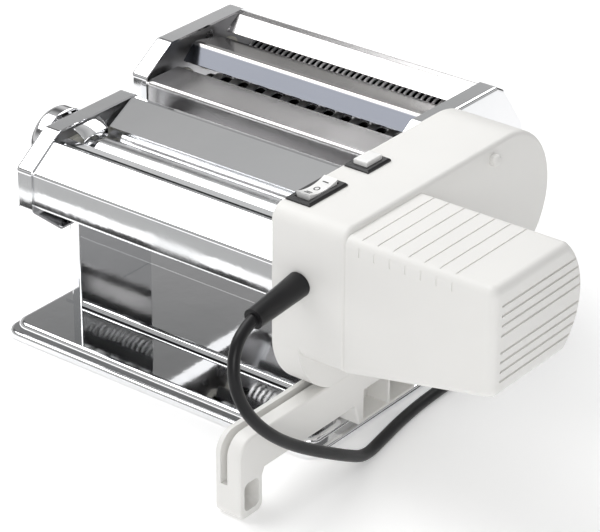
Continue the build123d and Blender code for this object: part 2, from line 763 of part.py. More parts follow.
pinion_x = (case_outer - 22, case_outer - 12)
to_stage = atan2(stage_centre[1] - motor_height, stage_centre[0] - motor_depth)
motor_phase = 0.0
wheel_phase = mesh_phase(motor_pinion, motor_phase, to_stage, stage_wheel)
roller_spindle_phase = 0.0
to_small = atan2(stage_centre[1] - roller_height, stage_centre[0] - rear_roller_depth)
small_phase = mesh_phase(spindle_gear, roller_spindle_phase, to_small, stage_pinion)
to_wide = atan2(wide_height - roller_height, wide_depth - rear_roller_depth)
wide_spindle_phase = mesh_phase(spindle_gear, roller_spindle_phase, to_wide, spindle_gear)

with BuildPart() as motor_rotor:
    rod((can_x[0] + 8, can_x[1] - 10), motor_depth, motor_height, 19.0)
    rod((pinion_x[0], can_x[1] + 18), motor_depth, motor_height, 3.0)
    add(gear_at(pinion_x, motor_depth, motor_height, motor_pinion, motor_phase, 0.8, 2.9))
finish(motor_rotor, "motor_rotor")

fan_x = (can_x[1] + 5, can_x[1] + 13)
with BuildPart() as motor_fan:
    rod(fan_x, motor_depth, motor_height, 6.0)
    rod((fan_x[0], fan_x[0] + 1.2), motor_depth, motor_height, 20.0)
    with BuildSketch(side_plane(fan_x[0])):
        with Locations((motor_depth, motor_height)):
            with PolarLocations(12.5, 8):
                Rectangle(15, 1.2)
    extrude(amount=fan_x[1] - fan_x[0])
    rod((fan_x[0] - 1, fan_x[1] + 1), motor_depth, motor_height, 3.0, mode=Mode.SUBTRACT)
finish(motor_fan, "motor_fan")

spindle_x = (case_inner + 5.5, case_inner + 13)
wheel_x = (pinion_x[0] + 2, pinion_x[1] - 2)
with BuildPart() as reduction_gear:
    add(gear_at(wheel_x, *stage_centre, stage_wheel, wheel_phase, 0.8, 2.9))
    add(gear_at(spindle_x, *stage_centre, stage_pinion, small_phase, 1.0, 2.9))
    rod((case_inner + 1.6, case_outer - 1.6), *stage_centre, 3.0)
finish(reduction_gear, "reduction_gear")

for name, place, phase, flat, tip in (
    ("roller_spindle", (rear_roller_depth, roller_height), roller_spindle_phase, 3.95, 14.5),
    ("cutter_spindle", wide_front, wide_spindle_phase, 2.55, 10.5),
):
    with BuildPart() as spindle:
        add(gear_at(spindle_x, *place, spindle_gear, phase, 1.0, 2.9))
        rod((case_inner - 0.5, spindle_x[1]), *place, 5.0)
        rod((spindle_x[0], case_outer - 1.6), *place, 3.0)
        with BuildSketch(side_plane(mid + cap_half - tip)):
            with Locations(place):
                RegularPolygon(flat, 6)
        extrude(amount=tip + 5.5)
    finish(spindle, name)

with BuildPart() as switch_bezels:
    for low, high in (rocker_depths, button_depths):
        block(bezel_x, (low, high), (case_top, case_top + 1.8))
    chamfer(switch_bezels.faces().group_by(Axis.Z)[-1].edges(), 0.9)
    for low, high in (rocker_depths, button_depths):
        block((bezel_x[0] + 2.2, bezel_x[1] - 2.2), (low + 2.2, high - 2.2), (case_top - 15, case_top))
        block((bezel_x[0] + 3.2, bezel_x[1] - 3.2), (low + 3.2, high - 3.2),
              (case_top - 13, case_top + 3), mode=Mode.SUBTRACT)
finish(switch_bezels, "switch_bezels")

rocker_centre = (rocker_depths[0] + rocker_depths[1]) / 2
rocker_x = (bezel_x[0] + 3.6, bezel_x[1] - 3.6)
rocker_half = 12.2
rocker_top = case_top + 4.4
rocker_pin = 1.2
with BuildPart() as rocker:
    with BuildSketch(side_plane(rocker_x[0])):
        with BuildLine():
            Polyline((rocker_centre - rocker_half, rocker_top),
                     (rocker_centre - rocker_half + 1.6, case_top - 4),
                     (rocker_centre, case_top - 6.5),
                     (rocker_centre + rocker_half - 1.6, case_top - 4),
                     (rocker_centre + rocker_half, rocker_top))
            ThreePointArc((rocker_centre + rocker_half, rocker_top), (rocker_centre, case_top + 2.2),
                          (rocker_centre - rocker_half, rocker_top))
        make_face()
    extrude(amount=rocker_x[1] - rocker_x[0])
    rod((rocker_x[0] - 0.3, rocker_x[1] + 0.3), rocker_centre, case_top - 1.0, rocker_pin)
finish(rocker, "rocker")

with BuildPart() as push_button:
    block((bezel_x[0] + 3.6, bezel_x[1] - 3.6), (button_depths[0] + 3.6, button_depths[1] - 3.6),
          (case_top - 6, case_top + 4.6))
    fillet(push_button.faces().sort_by(Axis.Z)[-1].edges(), 0.8)
finish(push_button, "push_button")

with BuildPart() as release_button:
    rod((case_outer - 5, case_outer + 4.6), release_depth, release_height, 3.6)
    fillet(release_button.faces().sort_by(Axis.X)[-1].edges(), 2.8)
    rod((case_outer - 6.5, case_outer - 4.9), release_depth, release_height, 5.0)
finish(release_button, "release_button")

with BuildPart() as case_screws:
    for depth, height in ((-14, 90), (-14, 154), (150, 96), (104, 88)):
        rod((case_inner + 3, case_outer - 4), depth, height, 1.6)
        rod((case_inner + case_wall, case_inner + case_wall + 2), depth, height, 3.2)
finish(case_screws, "case_screws")

# ---------------------------------------------------------------------------
# Support bracket: a slotted arm with a front leg and a ribbed rear shoe
# ---------------------------------------------------------------------------
leg_back = arm_front + 19.5
shoe = (34.0, 88.0)
with BuildPart() as support_bracket:
    with BuildSketch(side_plane(arm_x[0])) as arm_sketch:
        with BuildLine():
            Polyline((arm_front, 0), (arm_front, arm_top), (shoe[1], arm_top), (shoe[1], 11.2),
                     (shoe[0] + 1, 11.2), (shoe[0] - 4, arm_bottom), (leg_back + 2, arm_bottom),
                     (leg_back, arm_bottom - 4), (leg_back, 0), close=True)
        make_face()
        fillet(arm_sketch.vertices().group_by(Axis.X)[0].sort_by(Axis.Y)[-1], 12)
        fillet(arm_sketch.vertices().group_by(Axis.Y)[0], 5)
    extrude(amount=arm_x[1] - arm_x[0])
    fillet(support_bracket.faces().filter_by(Axis.X).edges(), 1.3)
    slot_x = (arm_x[0] + 3.8, arm_x[0] + 8.6)
    block(slot_x, (arm_front - 1, shoe[0] - 6), (31, arm_top + 1), mode=Mode.SUBTRACT)
    block(slot_x, (arm_front - 1, arm_front + 8), (20, 40), mode=Mode.SUBTRACT)
    with BuildSketch(side_plane(arm_x[0] + 4)):
        with Locations(((arm_front + leg_back) / 2, 13.2)):
            RectangleRounded(leg_back - arm_front - 7.2, 17.4, 3.5)
    extrude(amount=arm_x[1] - arm_x[0], mode=Mode.SUBTRACT)
    for low, high in ((shoe[0] + 4, shoe[0] + 27), (shoe[0] + 29, shoe[1] - 2.4)):
        block((arm_x[0] + 3, arm_x[1] + 1), (low, high), (13.6, 33), mode=Mode.SUBTRACT)
finish(support_bracket, "support_bracket")

# ---------------------------------------------------------------------------
# Mains lead: tapered strain relief, free tube, coil and plug
# ---------------------------------------------------------------------------
relief_length = 39.0
relief_drop = 4.5
relief_end = Vector(exit_x + 0.2, front + case_front - relief_length, exit_height - relief_drop)
relief_start = Vector(exit_x, front + case_front, exit_height)
relief_axis = (relief_end - relief_start).normalized()
relief_full = (relief_end - relief_start).length

with BuildPart() as strain_relief:
    with BuildSketch(Plane(relief_start - relief_axis * 3, z_dir=relief_axis)):
        Circle(relief_radius - 1.7)
    extrude(amount=3)
    with BuildSketch(Plane(relief_start, z_dir=relief_axis)):
        Circle(relief_radius)
    with BuildSketch(Plane(relief_start + relief_axis * relief_full, z_dir=relief_axis)):
        Circle(6.0)
    loft()
finish(strain_relief, "strain_relief")

lay = cord_radius
lead_route = [
    tuple(relief_end),
    (mid + 126.0, front - 71.0, 117.8),
    (mid + 127.5, front - 79.5, 109.0),
    (mid + 130.5, front - 83.5, 96.5),
    (mid + 133.5, front - 82.0, 83.0),
    (mid + 137.0, front - 74.5, 68.5),
    (mid + 140.0, front - 61.0, 54.0),
    (mid + 142.0, front - 43.0, 40.5),
    (mid + 143.0, front - 22.0, 27.5),
    (mid + 142.5, front + 0.0, 14.5),
    (mid + 140.5, front + 19.0, lay + 0.5),
    (mid + 136.5, front + 41.0, lay),
    (mid + 132.5, front + 64.0, lay),
    (mid + 130.0, front + 88.0, lay),
    (mid + 129.3, front + 113.0, lay),
    (mid + 129.8, front + 139.0, lay),
    (mid + 129.3, front + 166.0, lay),
    (mid + 126.6, front + 192.0, lay),
    (mid + 118.0, front + 216.0, lay),
    (mid + 100.0, front + 231.0, lay),
    (mid + 77.0, front + 237.0, lay),
    (mid + 51.0, front + 239.2, lay),
    (mid + 24.0, front + 238.4, lay),
    (mid + 0.0, front + 239.2, lay),
    (mid - 19.0, front + 238.8, lay),
    (mid - 37.0, front + 239.0, lay),
]


def corner_radii(points):
    """The largest sensible arc at each corner of a route."""
    radii = []
    for before, here, after in zip(points, points[1:], points[2:]):
        first = Vector(*here) - Vector(*before)
        second = Vector(*after) - Vector(*here)
        half_turn = radians(first.get_angle(second)) / 2
        radii.append(0.45 * min(first.length, second.length) / tan(half_turn))
    return radii


def lead_tube(points, name):
    """A round tube along straight runs joined by tangent arcs."""
    radii = corner_radii(points)
    with BuildPart() as tube:
        with BuildLine() as path:
            FilletPolyline(*points, radius=radii)
        start = path.wires()[0]
        with BuildSketch(Plane(start @ 0, z_dir=start % 0)):
            Circle(cord_radius)
        sweep(path=path.wires()[0])
    finish(tube, name)
    length = start.length
    print(name, "length", round(length, 1), "volume ratio",
          round(tube.part.volume / (length * pi * cord_radius ** 2), 4))
    print("  radii", [round(radius, 1) for radius in radii])
    return length


lead_length = lead_tube(lead_route, "power_cord")

tail_route = [
    (coil_x + 2.0, front + coil_depth + coil_radius, lay),
    (coil_x + 14.0, front + coil_depth + coil_radius + 0.5, lay + 0.8),
    (coil_x + 26.0, front + coil_depth + coil_radius + 0.6, lay + 2.6),
    (coil_x + 38.0, front + coil_depth + coil_radius + 0.3, lay + 4.1),
]
tail_length = lead_tube(tail_route, "cord_tail")

coil_width = 4 * cord_radius + 0.6
with BuildPart() as cord_coil:
    with BuildSketch(Plane.XY):
        with Locations((coil_x, front + coil_depth)):
            Circle(coil_radius + coil_width / 2)
            Circle(coil_radius - coil_width / 2, mode=Mode.SUBTRACT)
    extrude(amount=coil_width)
    fillet(cord_coil.edges().filter_by(GeomType.CIRCLE), cord_radius - 0.4)
finish(cord_coil, "cord_coil")

plug_start = Vector(*tail_route[-1])
with BuildPart() as power_plug:
    with BuildSketch(Plane(plug_start, x_dir=(0, 1, 0), z_dir=(1, 0, 0))):
        RectangleRounded(9, 8.6, 3)
    with BuildSketch(Plane(plug_start + Vector(14, 0, 0), x_dir=(0, 1, 0), z_dir=(1, 0, 0))):
        RectangleRounded(22, 13, 5)
    with BuildSketch(Plane(plug_start + Vector(33, 0, 0), x_dir=(0, 1, 0), z_dir=(1, 0, 0))):
        RectangleRounded(24, 14, 5)
    loft()
    for shift in (-9.5, 9.5):
        with Locations(Location(plug_start + Vector(41, shift, 0), (0, 90, 0))):
            Cylinder(2.0, 17.0)
finish(power_plug, "power_plug")
print("idler", idler, "stage", stage_centre, "coil turns length", 4 * 2 * pi * coil_radius)
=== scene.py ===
# %% [markdown]
# # A motorised pasta roller, dressed for the camera
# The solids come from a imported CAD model, which is loaded as a fixed frame. This lesson
# adds what CAD leaves out: the lead as one smooth curve, small marks and folds, finishes
# for every sheet of steel and every moulding, and a quiet studio around it all.

# %% Load the frame
import json
import math

import bpy
from mathutils import Matrix, Vector


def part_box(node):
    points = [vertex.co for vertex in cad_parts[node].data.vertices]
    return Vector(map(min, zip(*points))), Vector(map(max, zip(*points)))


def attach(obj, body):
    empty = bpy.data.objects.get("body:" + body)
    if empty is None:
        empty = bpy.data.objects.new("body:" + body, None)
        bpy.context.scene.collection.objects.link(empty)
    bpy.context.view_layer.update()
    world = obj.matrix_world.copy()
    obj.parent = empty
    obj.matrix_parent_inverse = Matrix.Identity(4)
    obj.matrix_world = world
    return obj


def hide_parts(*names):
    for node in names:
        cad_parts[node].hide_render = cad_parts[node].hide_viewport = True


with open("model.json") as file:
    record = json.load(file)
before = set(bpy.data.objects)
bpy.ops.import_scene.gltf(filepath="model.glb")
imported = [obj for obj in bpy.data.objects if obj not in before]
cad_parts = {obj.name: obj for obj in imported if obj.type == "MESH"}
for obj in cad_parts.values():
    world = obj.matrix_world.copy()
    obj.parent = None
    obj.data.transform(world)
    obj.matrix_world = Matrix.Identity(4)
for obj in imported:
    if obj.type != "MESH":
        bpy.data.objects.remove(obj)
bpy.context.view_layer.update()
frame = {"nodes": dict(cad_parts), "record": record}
record = frame["record"]

# %% [markdown]
# The part was drawn with two datums: the middle of the roller frame, and the front edge
# of the base. Every place below counts from those two, so it reads like a drawing.

# %% Datums
MM = 0.001
base_low, base_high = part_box("base_plate")
MID = (base_low.x + base_high.x) / 2
FRONT = base_low.y
print("middle", round(MID, 4), "front edge", round(FRONT, 4))


def at(x, depth, height):
    """A point from millimetres: right of the middle, behind the front edge, above the table."""
    return Vector((MID + x * MM, FRONT + depth * MM, height * MM))


# %% [markdown]
# ## Camera
# The camera comes first, because the room that the lead may take depends on what it
# sees. A long lens from well back keeps the rollers nearly parallel.

# %% Camera
AZIMUTH = math.radians(37.99)
ELEVATION = math.radians(27.77)
ROLL = math.radians(0.237)
LENS, SENSOR_WIDTH, FAR_CLIP = 171.54, 36, 50
CAMERA_PLACE = (951.56, -1078.97, 842.79)
back = Vector((math.sin(AZIMUTH) * math.cos(ELEVATION), -math.cos(AZIMUTH) * math.cos(ELEVATION),
               math.sin(ELEVATION)))
level = Vector((math.cos(AZIMUTH), math.sin(AZIMUTH), 0))
upward = back.cross(level)
right = level * math.cos(ROLL) + upward * math.sin(ROLL)
top = upward * math.cos(ROLL) - level * math.sin(ROLL)
camera_data = bpy.data.cameras.new("studio_camera")
camera_data.lens = LENS
camera_data.sensor_width = SENSOR_WIDTH
camera_data.clip_end = FAR_CLIP
camera = bpy.data.objects.new("studio_camera", camera_data)
bpy.context.scene.collection.objects.link(camera)
turn = Matrix((right, top, back)).transposed().to_4x4()
camera.matrix_world = Matrix.Translation(at(*CAMERA_PLACE)) @ turn
bpy.context.scene.camera = camera
print("camera", [round(c, 3) for c in camera.location])

# %% [markdown]
# ## The mains lead
# A lead has one length and no corners. It is a single NURBS curve of order three, which
# stays inside the polygon of its control points and bends as a rubber cable does. The
# unseen part is wound in four turns behind the machine, two beside and two above.

# %% Lead
CORD_DIAMETER = 7.0
CORD_RADIUS = CORD_DIAMETER / 2
COIL_X, COIL_DEPTH, COIL_MIDDLE = -40.0, 277.0, 38.0
TURN_POINTS = 16
BESIDE, ABOVE = 3.6, 7.1
relief_tip = (125.6, -61.0, 121.0)
lead_points = [
    relief_tip,
    (126.0, -71.0, 117.8),
    (127.5, -79.5, 109.0),
    (130.5, -83.5, 96.5),
    (133.5, -82.0, 83.0),
    (137.0, -74.5, 68.5),
    (140.0, -61.0, 54.0),
    (142.0, -43.0, 40.5),
    (143.0, -22.0, 27.5),
    (142.5, 0.0, 14.5),
    (140.5, 19.0, 4.0),
    (136.5, 41.0, 3.5),
    (132.5, 64.0, 3.5),
    (130.0, 88.0, 3.5),
    (129.3, 113.0, 3.5),
    (129.8, 139.0, 3.5),
    (129.3, 166.0, 3.5),
    (126.6, 192.0, 3.5),
    (118.0, 216.0, 3.5),
    (100.0, 231.0, 3.5),
    (77.0, 237.0, 3.5),
    (51.0, 239.2, 3.5),
    (24.0, 238.4, 3.5),
    (0.0, 239.2, 3.5),
    (-19.0, 238.8, 3.5),
]
turns = [(BESIDE, 0.0), (-BESIDE, 0.0), (-BESIDE, ABOVE), (BESIDE, ABOVE)]
for step in range(4 * TURN_POINTS + TURN_POINTS // 2):
    share = step / TURN_POINTS
    number = min(int(share), 3)
    following = turns[min(number + 1, 3)]
    blend = max(0.0, (share - number) * 4 - 3) if number < 3 else 0.0
    radius = COIL_MIDDLE + turns[number][0] + (following[0] - turns[number][0]) * blend
    lift = CORD_RADIUS + turns[number][1] + (following[1] - turns[number][1]) * blend
    angle = -math.pi / 2 - 2 * math.pi * share
    lead_points.append((COIL_X + radius * math.cos(angle), COIL_DEPTH + radius * math.sin(angle), lift))
lead_points += [
    (COIL_X + 2.0, COIL_DEPTH + 41.3, 10.4),
    (COIL_X + 14.0, COIL_DEPTH + 40.5, 9.6),
    (COIL_X + 26.0, COIL_DEPTH + 38.9, 8.4),
    (COIL_X + 38.0, COIL_DEPTH + 38.3, 7.6),
]

lead_curve = bpy.data.curves.new("mains_lead", "CURVE")
lead_curve.dimensions = "3D"
lead_spline = lead_curve.splines.new("NURBS")
lead_spline.points.add(len(lead_points) - 1)
for point, place in zip(lead_spline.points, lead_points):
    point.co = (*at(*place), 1)
    point.radius = CORD_RADIUS * MM
lead_spline.order_u = 3
lead_spline.use_endpoint_u = True
lead_spline.resolution_u = 8
lead_curve.bevel_depth = 1.0
lead_curve.bevel_resolution = 5
lead_curve.use_fill_caps = True
mains_lead = bpy.data.objects.new("mains_lead", lead_curve)
bpy.context.scene.collection.objects.link(mains_lead)
bare = lead_curve.copy()
bare.bevel_depth = 0
bare_object = bpy.data.objects.new("measure", bare)
bpy.context.scene.collection.objects.link(bare_object)
line = bpy.data.meshes.new_from_object(bare_object)
bpy.data.objects.remove(bare_object)
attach(mains_lead, "frame")
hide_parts("power_cord", "cord_tail", "cord_coil")

# %% [markdown]
# ## Helpers for finishes
# A finish is a Principled shader with a few procedural nodes. Two effects come back in
# many finishes: uneven polish, which varies the roughness in clouds, and a fine grain,
# which gives a height for bump. Each is a node group, built once.

# %% Shared effects


def group_sockets(group, inputs, outputs):
    """Names a node group's inputs, with their values, and its outputs."""
    for name, value in inputs.items():
        socket = group.interface.new_socket(name, in_out="INPUT", socket_type="NodeSocketFloat")
        socket.default_value = value
    for name in outputs:
        group.interface.new_socket(name, in_out="OUTPUT", socket_type="NodeSocketFloat")
    return group.nodes.new("NodeGroupInput"), group.nodes.new("NodeGroupOutput")


def make_uneven_polish():
    """Cloudy roughness between Low and High."""
    group = bpy.data.node_groups.new("uneven_polish", "ShaderNodeTree")
    inside, outside = group_sockets(group, {"Scale": 20.0, "Low": 0.1, "High": 0.2}, ["Roughness"])
    place = group.nodes.new("ShaderNodeTexCoord")
    clouds = group.nodes.new("ShaderNodeTexNoise")
    clouds.inputs["Detail"].default_value = 6
    clouds.inputs["Roughness"].default_value = 0.6
    spread = group.nodes.new("ShaderNodeMapRange")
    spread.inputs["From Min"].default_value = 0.35
    spread.inputs["From Max"].default_value = 0.65
    group.links.new(place.outputs["Object"], clouds.inputs["Vector"])
    group.links.new(inside.outputs["Scale"], clouds.inputs["Scale"])
    group.links.new(clouds.outputs["Fac"], spread.inputs["Value"])
    group.links.new(inside.outputs["Low"], spread.inputs["To Min"])
    group.links.new(inside.outputs["High"], spread.inputs["To Max"])
    group.links.new(spread.outputs["Result"], outside.inputs["Roughness"])
    return group


def make_fine_grain():
    """A height made of noise, which Stretch can draw out along X as brushing does."""
    group = bpy.data.node_groups.new("fine_grain", "ShaderNodeTree")
    inside, outside = group_sockets(group, {"Scale": 900.0, "Stretch": 1.0}, ["Height"])
    place = group.nodes.new("ShaderNodeTexCoord")
    squeeze = group.nodes.new("ShaderNodeCombineXYZ")
    squeeze.inputs["Y"].default_value = 1
    squeeze.inputs["Z"].default_value = 1
    scaled = group.nodes.new("ShaderNodeVectorMath")
    scaled.operation = "MULTIPLY"
    noise = group.nodes.new("ShaderNodeTexNoise")
    noise.inputs["Detail"].default_value = 4
    group.links.new(inside.outputs["Stretch"], squeeze.inputs["X"])
    group.links.new(place.outputs["Object"], scaled.inputs[0])
    group.links.new(squeeze.outputs["Vector"], scaled.inputs[1])
    group.links.new(scaled.outputs["Vector"], noise.inputs["Vector"])
    group.links.new(inside.outputs["Scale"], noise.inputs["Scale"])
    group.links.new(noise.outputs["Fac"], outside.inputs["Height"])
    return group


uneven_polish = make_uneven_polish()
fine_grain = make_fine_grain()
print("effects", uneven_polish.name, fine_grain.name)

# %% [markdown]
# A finish has a colour that drifts a little between two tones, a roughness from uneven
# polish, and a bump from fine grain. Metals and mouldings differ only in the values.

# %% One finish from its values


def make_finish(name, light, dark, roughness, polish_scale=25.0, metallic=0.0, grain=900.0,
                stretch=1.0, depth=0.00001, tone_scale=9.0, coat=0.0, specular=0.5, sheen=0.0):
    """A procedural material: two tones, uneven polish and a grain in the bump."""
    material = bpy.data.materials.new(name)
    material.use_nodes = True
    nodes, links = material.node_tree.nodes, material.node_tree.links
    shader = nodes["Principled BSDF"]
    shader.inputs["Metallic"].default_value = metallic
    shader.inputs["Coat Weight"].default_value = coat
    shader.inputs["Coat Roughness"].default_value = 0.12
    shader.inputs["Specular IOR Level"].default_value = specular
    shader.inputs["Sheen Weight"].default_value = sheen
    place = nodes.new("ShaderNodeTexCoord")
    tone = nodes.new("ShaderNodeTexNoise")
    tone.inputs["Scale"].default_value = tone_scale
    tone.inputs["Detail"].default_value = 3
    colours = nodes.new("ShaderNodeValToRGB")
    colours.color_ramp.elements[0].position = 0.35
    colours.color_ramp.elements[0].color = (*dark, 1)
    colours.color_ramp.elements[1].position = 0.65
    colours.color_ramp.elements[1].color = (*light, 1)
    polish = nodes.new("ShaderNodeGroup")
    polish.node_tree = uneven_polish
    polish.inputs["Scale"].default_value = polish_scale
    polish.inputs["Low"].default_value = roughness[0]
    polish.inputs["High"].default_value = roughness[1]
    texture = nodes.new("ShaderNodeGroup")
    texture.node_tree = fine_grain
    texture.inputs["Scale"].default_value = grain
    texture.inputs["Stretch"].default_value = stretch
    bump = nodes.new("ShaderNodeBump")
    bump.inputs["Strength"].default_value = 1.0
    bump.inputs["Distance"].default_value = depth
    links.new(place.outputs["Object"], tone.inputs["Vector"])
    links.new(tone.outputs["Fac"], colours.inputs["Fac"])
    links.new(colours.outputs["Color"], shader.inputs["Base Color"])
    links.new(polish.outputs["Roughness"], shader.inputs["Roughness"])
    links.new(texture.outputs["Height"], bump.inputs["Height"])
    links.new(bump.outputs["Normal"], shader.inputs["Normal"])
    return material


print("finish builder uses", uneven_polish.name, "and", fine_grain.name)

# %% [markdown]
# ## The finishes
# Polished sheet steel has almost no texture of its own: only slow waves in the sheet and
# faint smears, so it shows the room. The cutter guides are satin. The drive unit is warm
# white plastic with a spark-eroded grain that breaks up its highlights.

# %% Finishes by material slot
finishes = {
    "mirror_steel": make_finish(
        "mirror_steel", (0.90, 0.90, 0.91), (0.84, 0.85, 0.86), (0.03, 0.075), metallic=1.0,
        grain=26.0, depth=0.00007),
    "satin_steel": make_finish(
        "satin_steel", (0.66, 0.65, 0.65), (0.60, 0.59, 0.59), (0.20, 0.27), metallic=1.0,
        grain=2600.0, stretch=0.03, depth=0.000008),
    # This is polished steel with a darkened colour: the darkness is a painted dark reflection, not a
    # darker metal.
    "dark_mirror_steel": make_finish(
        "dark_mirror_steel", (0.30, 0.30, 0.31), (0.22, 0.22, 0.23), (0.04, 0.09), metallic=1.0,
        grain=30.0, depth=0.00005),
    "plate_steel": make_finish(
        "plate_steel", (0.55, 0.55, 0.56), (0.44, 0.44, 0.46), (0.25, 0.40), metallic=1.0,
        grain=1500.0, depth=0.00002),
    "roller_steel": make_finish(
        "roller_steel", (0.86, 0.86, 0.87), (0.76, 0.77, 0.78), (0.14, 0.22), metallic=1.0,
        grain=3000.0, stretch=0.05, depth=0.000008),
    "gear_steel": make_finish(
        "gear_steel", (0.34, 0.34, 0.35), (0.26, 0.26, 0.27), (0.28, 0.45), metallic=1.0,
        grain=1200.0, depth=0.00002),
    "white_plastic": make_finish(
        "white_plastic", (0.83, 0.822, 0.80), (0.80, 0.792, 0.77), (0.40, 0.48),
        grain=2200.0, depth=0.000035, specular=0.45),
    "white_switch": make_finish(
        "white_switch", (0.90, 0.90, 0.89), (0.86, 0.86, 0.85), (0.16, 0.24),
        grain=800.0, depth=0.000008, coat=0.3),
    "black_plastic": make_finish(
        "black_plastic", (0.018, 0.018, 0.020), (0.010, 0.010, 0.011), (0.28, 0.40),
        grain=1900.0, depth=0.00002),
    "nylon": make_finish(
        "nylon", (0.84, 0.82, 0.74), (0.78, 0.76, 0.68), (0.35, 0.5), grain=1000.0, depth=0.00002),
    "motor_steel": make_finish(
        "motor_steel", (0.50, 0.50, 0.51), (0.40, 0.40, 0.42), (0.3, 0.42), metallic=1.0,
        grain=1200.0, depth=0.00002),
    "black_rubber": make_finish(
        "black_rubber", (0.008, 0.008, 0.009), (0.004, 0.004, 0.005), (0.34, 0.46),
        grain=1600.0, depth=0.00003, specular=0.3, sheen=0.05),
}

for entry in record["subparts"]:
    node = frame["nodes"][entry["node"]]
    node.data.materials.clear()
    node.data.materials.append(finishes[entry["material_slot"]])
mains_lead.data.materials.append(finishes["black_rubber"])
print("finishes", len(finishes))

# %% [markdown]
# Some sheets and rollers change colour across themselves. The cutter rollers are bright
# on their discs and near-black down in the gaps: painted shade between the discs, which
# also stands in for the black combs there. The ridge between the two slots has a painted
# dark reflection in front of its crest and is satin behind it. Each is one finish with a
# second tone laid over it by a mask from the piece's own coordinates.

# %% Finishes in two zones


def lay_second_tone(material, mask, tone):
    """Mixes a tone over the base colour of a finish where the mask is one."""
    nodes, links = material.node_tree.nodes, material.node_tree.links
    base = nodes["Principled BSDF"].inputs["Base Color"]
    mix = nodes.new("ShaderNodeMix")
    mix.data_type = "RGBA"
    colours = [socket for socket in mix.inputs if socket.type == "RGBA"]
    blended = [socket for socket in mix.outputs if socket.type == "RGBA"][0]
    links.new(base.links[0].from_socket, colours[0])
    colours[1].default_value = (*tone, 1)
    links.new(mask, mix.inputs[0])
    links.new(blended, base)


def step_mask(material, value, start, end):
    """One where a value is below start, nought above end."""
    nodes, links = material.node_tree.nodes, material.node_tree.links
    ramp = nodes.new("ShaderNodeMapRange")
    ramp.inputs["From Min"].default_value = start
    ramp.inputs["From Max"].default_value = end
    ramp.inputs["To Min"].default_value = 1
    ramp.inputs["To Max"].default_value = 0
    links.new(value, ramp.inputs["Value"])
    return ramp.outputs["Result"]


def own_place(material):
    """The piece's own coordinates as a vector socket."""
    return material.node_tree.nodes.new("ShaderNodeTexCoord").outputs["Object"]


GAP_RADIUS, DISC_RADIUS = 9.4 * MM, 9.9 * MM
for node_name, depth, height in (
    ("wide_cutter_front", 123.5, 126.0), ("wide_cutter_rear", 143.5, 126.0),
    ("narrow_cutter_front", 166.0, 133.0), ("narrow_cutter_rear", 186.0, 133.0),
):
    disc_finish_with_painted_gap_shade = make_finish(
        node_name + "_steel", (0.97, 0.97, 0.97), (0.90, 0.90, 0.90), (0.30, 0.38), metallic=1.0,
        grain=3000.0, stretch=0.05, depth=0.000008)
    tree = disc_finish_with_painted_gap_shade.node_tree
    offset = tree.nodes.new("ShaderNodeVectorMath")
    offset.operation = "SUBTRACT"
    offset.inputs[1].default_value = at(0, depth, height)
    across = tree.nodes.new("ShaderNodeVectorMath")
    across.operation = "MULTIPLY"
    across.inputs[1].default_value = (0, 1, 1)
    reach = tree.nodes.new("ShaderNodeVectorMath")
    reach.operation = "LENGTH"
    tree.links.new(own_place(disc_finish_with_painted_gap_shade), offset.inputs[0])
    tree.links.new(offset.outputs["Vector"], across.inputs[0])
    tree.links.new(across.outputs["Vector"], reach.inputs[0])
    # The near-black tone inside GAP_RADIUS is painted shade between the discs, partly standing in for
    # the black combs.
    lay_second_tone(disc_finish_with_painted_gap_shade, step_mask(disc_finish_with_painted_gap_shade, reach.outputs["Value"], GAP_RADIUS, DISC_RADIUS),
                    (0.006, 0.006, 0.006))
    frame["nodes"][node_name].data.materials[0] = disc_finish_with_painted_gap_shade

ridge_finish_with_painted_reflection = make_finish(
    "ridge_steel_painted_reflection", (0.60, 0.59, 0.58), (0.54, 0.53, 0.52), (0.12, 0.18), metallic=1.0,
    grain=2600.0, stretch=0.03, depth=0.000005)
split = ridge_finish_with_painted_reflection.node_tree.nodes.new("ShaderNodeSeparateXYZ")
ridge_finish_with_painted_reflection.node_tree.links.new(own_place(ridge_finish_with_painted_reflection), split.inputs["Vector"])
CREST = at(0, 147.6, 0).y
# The dark tone in front of the crest is a painted dark reflection on the ridge's front face; behind the
# crest the steel keeps its satin colour.
lay_second_tone(ridge_finish_with_painted_reflection, step_mask(ridge_finish_with_painted_reflection, split.outputs["Y"], CREST - 1.2 * MM, CREST),
                (0.10, 0.105, 0.12))
frame["nodes"]["cutter_ridge"].data.materials[0] = ridge_finish_with_painted_reflection
print("two-zone finishes", 5)

# %% [markdown]
# ## Helpers for new pieces
# New pieces start from a primitive that is shaped in edit mode. These helpers deselect
# the rest and bake the object's own place into its mesh.

# %% Modelling helpers


def start_clean():
    """Leaves nothing selected, so that the next operator acts on the new piece alone."""
    if bpy.context.object and bpy.context.object.mode != "OBJECT":
        bpy.ops.object.mode_set(mode="OBJECT")
    bpy.ops.object.select_all(action="DESELECT")


def finish_piece(piece, body, slot_name, smooth=35):
    """Applies the place, smooths by angle, gives the finish and lets the piece ride."""
    start_clean()
    piece.select_set(True)
    bpy.context.view_layer.objects.active = piece
    bpy.ops.object.transform_apply(location=True, rotation=True, scale=True)
    bpy.ops.object.shade_smooth_by_angle(angle=math.radians(smooth))
    piece.data.materials.clear()
    piece.data.materials.append(finishes[slot_name])
    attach(piece, body)
    print(piece.name, "faces", len(piece.data.polygons))
    return piece


